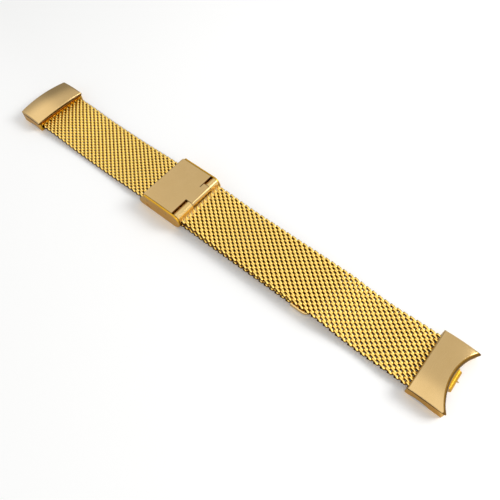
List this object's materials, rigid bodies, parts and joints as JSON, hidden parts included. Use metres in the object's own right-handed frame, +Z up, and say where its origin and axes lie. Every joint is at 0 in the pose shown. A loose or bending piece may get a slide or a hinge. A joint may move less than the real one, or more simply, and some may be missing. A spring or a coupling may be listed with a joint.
{
  "type": "milanese mesh watch band",
  "caption": "Gold woven mesh watch band, laid flat, with a sliding lever clasp that grips one strap and curved end links with quick-release bars.",
  "frame": {"origin": "middle of the band's length and width, on the surface that it lies on", "axes": "+X along the band from the far link to the near link, +Y across it, +Z up through the outer face"},
  "size_m": [0.1852, 0.0218, 0.0063],
  "materials": {
    "woven_mesh": "woven gold-plated steel wire",
    "brushed_cap": "brushed gold plate",
    "brushed_cover": "brushed gold plate",
    "link_body": "satin gold plate",
    "clasp_sides": "satin gold plate",
    "polished_knuckle": "polished gold plate",
    "polished_tip": "polished gold plate",
    "pin_steel": "turned steel",
    "spring_steel": "spring wire"
  },
  "bodies": {
    "clasp": {"clasp_frame": "clasp_sides", "hinge_pin": "pin_steel", "catch_pin": "pin_steel", "guide_pin": "pin_steel"},
    "cover": {"clasp_cover": "brushed_cover"},
    "core": {"mesh_core": "woven_mesh"},
    "fitting": {"end_fitting": "polished_knuckle", "mesh_near_01": "woven_mesh"},
    "far_01": {"mesh_far_01": "woven_mesh"},
    "far_02": {"mesh_far_02": "woven_mesh"},
    "far_03": {"mesh_far_03": "woven_mesh"},
    "far_04": {"mesh_far_04": "woven_mesh"},
    "far_05": {"mesh_far_05": "woven_mesh"},
    "far_06": {"mesh_far_06": "woven_mesh"},
    "far_07": {"mesh_far_07": "woven_mesh"},
    "far_link": {"mesh_far_08": "woven_mesh", "far_link_cap": "brushed_cap", "far_link_insert": "link_body", "far_bar_tube": "pin_steel", "far_bar_spring": "spring_steel"},
    "near_02": {"mesh_near_02": "woven_mesh"},
    "near_03": {"mesh_near_03": "woven_mesh"},
    "near_04": {"mesh_near_04": "woven_mesh"},
    "near_05": {"mesh_near_05": "woven_mesh"},
    "near_06": {"mesh_near_06": "woven_mesh"},
    "near_07": {"mesh_near_07": "woven_mesh"},
    "near_08": {"mesh_near_08": "woven_mesh"},
    "near_09": {"mesh_near_09": "woven_mesh"},
    "near_10": {"mesh_near_10": "woven_mesh"},
    "near_11": {"mesh_near_11": "woven_mesh"},
    "near_12": {"mesh_near_12": "woven_mesh"},
    "near_13": {"mesh_near_13": "woven_mesh"},
    "near_link": {"mesh_near_14": "woven_mesh", "near_link_cap": "brushed_cap", "near_link_insert": "link_body", "near_bar_tube": "pin_steel", "near_bar_spring": "spring_steel"},
    "tail_01": {"mesh_tail_01": "woven_mesh"},
    "tail_02": {"mesh_tail_02": "woven_mesh"},
    "tail_03": {"mesh_tail_03": "woven_mesh"},
    "tail_04": {"mesh_tail_04": "woven_mesh"},
    "tail_05": {"mesh_tail_05": "woven_mesh"},
    "tail_06": {"mesh_tail_06": "woven_mesh"},
    "tail_07": {"mesh_tail_07": "woven_mesh"},
    "tail_end": {"mesh_tail_08": "woven_mesh", "tail_tip": "polished_tip"},
    "far_plunger": {"far_bar_plunger": "pin_steel"},
    "near_plunger": {"near_bar_plunger": "pin_steel"}
  },
  "joints": [
    {"name": "cover_hinge", "type": "hinge", "parent": "clasp", "child": "cover", "pos_m": [-0.0083, 0, 0.0047], "axis": [0, 1, 0], "range_deg": [0, 100]},
    {"name": "strap_slide", "type": "slide", "parent": "clasp", "child": "core", "axis": [1, 0, 0], "range_m": [-0.044, 0]},
    {"name": "fitting_hinge", "type": "hinge", "parent": "clasp", "child": "fitting", "pos_m": [-0.0083, 0, 0.0047], "axis": [0, 1, 0], "range_deg": [-90, 0]},
    {"name": "far_curl", "type": "hinge", "parent": "core", "child": "far_01", "pos_m": [-0.0315, 0, 0.00145], "axis": [0, -1, 0], "range_deg": [0, 12]},
    {"name": "far_curl_02", "type": "hinge", "parent": "far_01", "child": "far_02", "pos_m": [-0.03739, 0, 0.00112], "axis": [0, -1, 0], "range_deg": [0, 12]},
    {"name": "far_curl_03", "type": "hinge", "parent": "far_02", "child": "far_03", "pos_m": [-0.04327, 0, 0.00086], "axis": [0, -1, 0], "range_deg": [0, 12]},
    {"name": "far_curl_04", "type": "hinge", "parent": "far_03", "child": "far_04", "pos_m": [-0.04916, 0, 0.0008], "axis": [0, -1, 0], "range_deg": [0, 12]},
    {"name": "far_curl_05", "type": "hinge", "parent": "far_04", "child": "far_05", "pos_m": [-0.05504, 0, 0.0008], "axis": [0, -1, 0], "range_deg": [0, 12]},
    {"name": "far_curl_06", "type": "hinge", "parent": "far_05", "child": "far_06", "pos_m": [-0.06093, 0, 0.00085], "axis": [0, -1, 0], "range_deg": [0, 12]},
    {"name": "far_curl_07", "type": "hinge", "parent": "far_06", "child": "far_07", "pos_m": [-0.06681, 0, 0.00125], "axis": [0, -1, 0], "range_deg": [0, 12]},
    {"name": "far_curl_08", "type": "hinge", "parent": "far_07", "child": "far_link", "pos_m": [-0.0727, 0, 0.0018], "axis": [0, -1, 0], "range_deg": [0, 12]},
    {"name": "near_curl", "type": "hinge", "parent": "fitting", "child": "near_02", "pos_m": [-0.001, 0, 0.004], "axis": [0, 1, 0], "range_deg": [0, 12]},
    {"name": "near_curl_02", "type": "hinge", "parent": "near_02", "child": "near_03", "pos_m": [0.005, 0, 0.00335], "axis": [0, 1, 0], "range_deg": [0, 12]},
    {"name": "near_curl_03", "type": "hinge", "parent": "near_03", "child": "near_04", "pos_m": [0.011, 0, 0.00315], "axis": [0, 1, 0], "range_deg": [0, 12]},
    {"name": "near_curl_04", "type": "hinge", "parent": "near_04", "child": "near_05", "pos_m": [0.017, 0, 0.00315], "axis": [0, 1, 0], "range_deg": [0, 12]},
    {"name": "near_curl_05", "type": "hinge", "parent": "near_05", "child": "near_06", "pos_m": [0.023, 0, 0.00315], "axis": [0, 1, 0], "range_deg": [0, 12]},
    {"name": "near_curl_06", "type": "hinge", "parent": "near_06", "child": "near_07", "pos_m": [0.029, 0, 0.00315], "axis": [0, 1, 0], "range_deg": [0, 12]},
    {"name": "near_curl_07", "type": "hinge", "parent": "near_07", "child": "near_08", "pos_m": [0.035, 0, 0.00315], "axis": [0, 1, 0], "range_deg": [0, 12]},
    {"name": "near_curl_08", "type": "hinge", "parent": "near_08", "child": "near_09", "pos_m": [0.041, 0, 0.00315], "axis": [0, 1, 0], "range_deg": [0, 12]},
    {"name": "near_curl_09", "type": "hinge", "parent": "near_09", "child": "near_10", "pos_m": [0.0505, 0, 0.00305], "axis": [0, 1, 0], "range_deg": [0, 12]},
    {"name": "near_curl_10", "type": "hinge", "parent": "near_10", "child": "near_11", "pos_m": [0.0564, 0, 0.002], "axis": [0, 1, 0], "range_deg": [0, 12]},
    {"name": "near_curl_11", "type": "hinge", "parent": "near_11", "child": "near_12", "pos_m": [0.0623, 0, 0.00135], "axis": [0, 1, 0], "range_deg": [0, 12]},
    {"name": "near_curl_12", "type": "hinge", "parent": "near_12", "child": "near_13", "pos_m": [0.0682, 0, 0.00135], "axis": [0, 1, 0], "range_deg": [0, 12]},
    {"name": "near_curl_13", "type": "hinge", "parent": "near_13", "child": "near_link", "pos_m": [0.0741, 0, 0.0018], "axis": [0, 1, 0], "range_deg": [0, 12]},
    {"name": "tail_curl_01", "type": "hinge", "parent": "core", "child": "tail_01", "pos_m": [-0.00127, 0, 0.00145], "axis": [0, 1, 0], "range_deg": [0, 12]},
    {"name": "tail_curl_02", "type": "hinge", "parent": "tail_01", "child": "tail_02", "pos_m": [0.00426, 0, 0.00145], "axis": [0, 1, 0], "range_deg": [0, 12]},
    {"name": "tail_curl_03", "type": "hinge", "parent": "tail_02", "child": "tail_03", "pos_m": [0.00989, 0, 0.00145], "axis": [0, 1, 0], "range_deg": [0, 12]},
    {"name": "tail_curl_04", "type": "hinge", "parent": "tail_03", "child": "tail_04", "pos_m": [0.01553, 0, 0.00145], "axis": [0, 1, 0], "range_deg": [0, 12]},
    {"name": "tail_curl_05", "type": "hinge", "parent": "tail_04", "child": "tail_05", "pos_m": [0.02117, 0, 0.00145], "axis": [0, 1, 0], "range_deg": [0, 12]},
    {"name": "tail_curl_06", "type": "hinge", "parent": "tail_05", "child": "tail_06", "pos_m": [0.02681, 0, 0.00145], "axis": [0, 1, 0], "range_deg": [0, 12]},
    {"name": "tail_curl_07", "type": "hinge", "parent": "tail_06", "child": "tail_07", "pos_m": [0.03246, 0, 0.00145], "axis": [0, 1, 0], "range_deg": [0, 12]},
    {"name": "tail_curl_08", "type": "hinge", "parent": "tail_07", "child": "tail_end", "pos_m": [0.0381, 0, 0.00145], "axis": [0, 1, 0], "range_deg": [0, 12]},
    {"name": "far_plunger_slide", "type": "slide", "parent": "far_link", "child": "far_plunger", "axis": [0, -1, 0], "range_m": [-0.001, 0], "stiffness_N_per_m": 300, "springref_m": 0.002, "deforming": ["far_bar_spring"]},
    {"name": "near_plunger_slide", "type": "slide", "parent": "near_link", "child": "near_plunger", "axis": [0, 1, 0], "range_m": [-0.001, 0], "stiffness_N_per_m": 300, "springref_m": 0.002, "deforming": ["near_bar_spring"]}
  ],
  "couplings": [
    {"joint": "far_curl_02", "follows": "far_curl", "ratio": 1},
    {"joint": "far_curl_03", "follows": "far_curl", "ratio": 1},
    {"joint": "far_curl_04", "follows": "far_curl", "ratio": 1},
    {"joint": "far_curl_05", "follows": "far_curl", "ratio": 1},
    {"joint": "far_curl_06", "follows": "far_curl", "ratio": 1},
    {"joint": "far_curl_07", "follows": "far_curl", "ratio": 1},
    {"joint": "far_curl_08", "follows": "far_curl", "ratio": 1},
    {"joint": "near_curl_02", "follows": "near_curl", "ratio": 1},
    {"joint": "near_curl_03", "follows": "near_curl", "ratio": 1},
    {"joint": "near_curl_04", "follows": "near_curl", "ratio": 1},
    {"joint": "near_curl_05", "follows": "near_curl", "ratio": 1},
    {"joint": "near_curl_06", "follows": "near_curl", "ratio": 1},
    {"joint": "near_curl_07", "follows": "near_curl", "ratio": 1},
    {"joint": "near_curl_08", "follows": "near_curl", "ratio": 1},
    {"joint": "near_curl_09", "follows": "near_curl", "ratio": 1},
    {"joint": "near_curl_10", "follows": "near_curl", "ratio": 1},
    {"joint": "near_curl_11", "follows": "near_curl", "ratio": 1},
    {"joint": "near_curl_12", "follows": "near_curl", "ratio": 1},
    {"joint": "near_curl_13", "follows": "near_curl", "ratio": 1},
    {"joint": "tail_curl_01", "follows": "near_curl", "ratio": 1},
    {"joint": "tail_curl_02", "follows": "near_curl", "ratio": 1},
    {"joint": "tail_curl_03", "follows": "near_curl", "ratio": 1},
    {"joint": "tail_curl_04", "follows": "near_curl", "ratio": 1},
    {"joint": "tail_curl_05", "follows": "near_curl", "ratio": 1},
    {"joint": "tail_curl_06", "follows": "near_curl", "ratio": 1},
    {"joint": "tail_curl_07", "follows": "near_curl", "ratio": 1},
    {"joint": "tail_curl_08", "follows": "near_curl", "ratio": 1}
  ]
}
